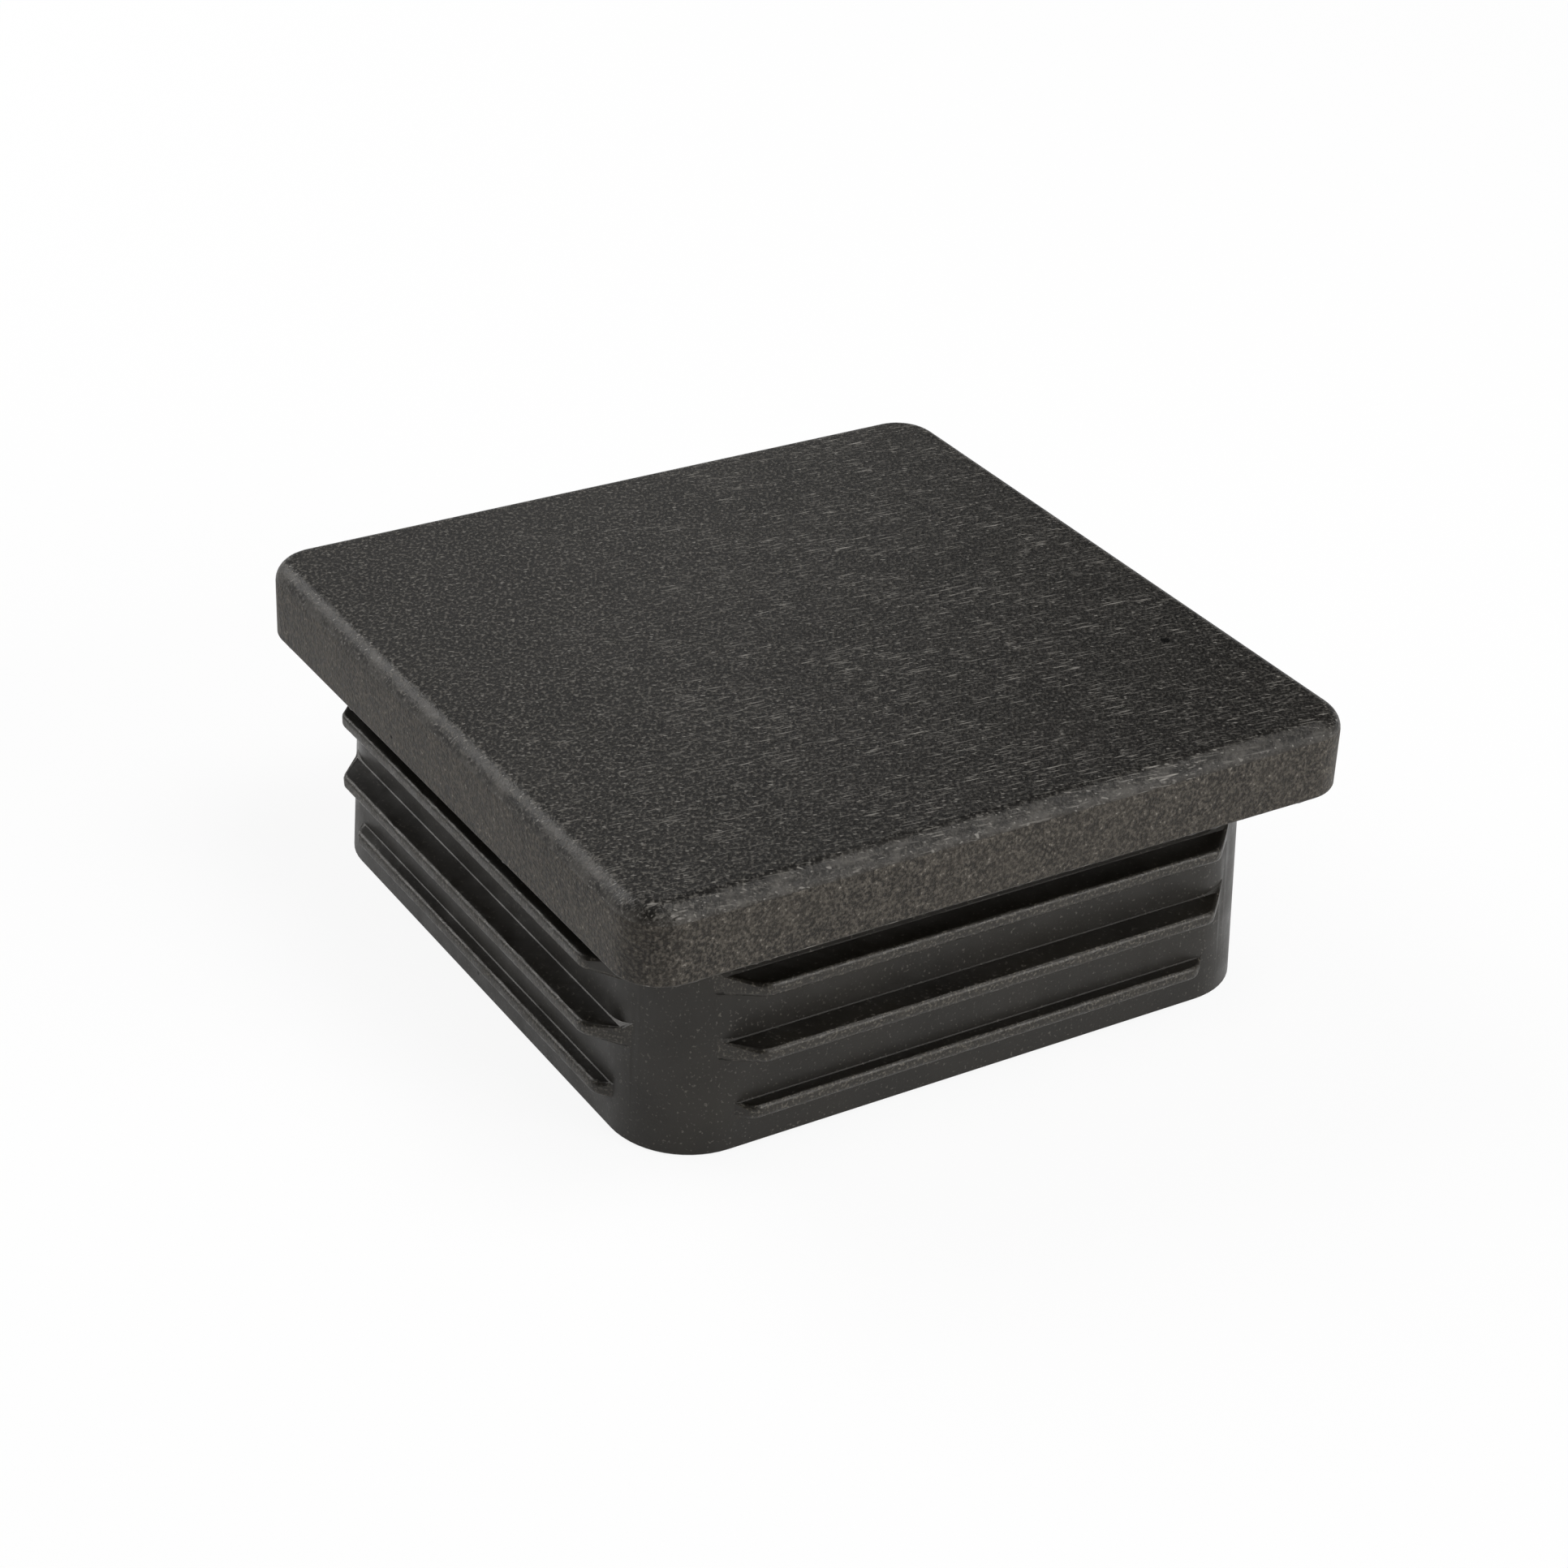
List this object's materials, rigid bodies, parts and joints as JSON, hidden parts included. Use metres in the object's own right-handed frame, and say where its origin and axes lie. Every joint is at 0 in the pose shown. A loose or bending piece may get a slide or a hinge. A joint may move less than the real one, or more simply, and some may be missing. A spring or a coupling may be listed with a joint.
{
  "type": "tube end cap",
  "caption": "Square push-in end cap for a tube: a flat head with rounded corners over a hollow skirt whose rows of ribs are squeezed by the tube's inside walls.",
  "frame": {"origin": "centre of the skirt's open rim, at the lowest plane of the part", "axes": "+Z along the cap's axis, from the open rim out through the head; X and Y square to the sides"},
  "size_m": [0.05, 0.05, 0.0198],
  "materials": {
    "cap_plastic": "black moulded polyethylene, fine spark-eroded grain on the head, smoother satin on the skirt"
  },
  "bodies": {
    "root": {"end_cap": "cap_plastic"}
  },
  "joints": []
}
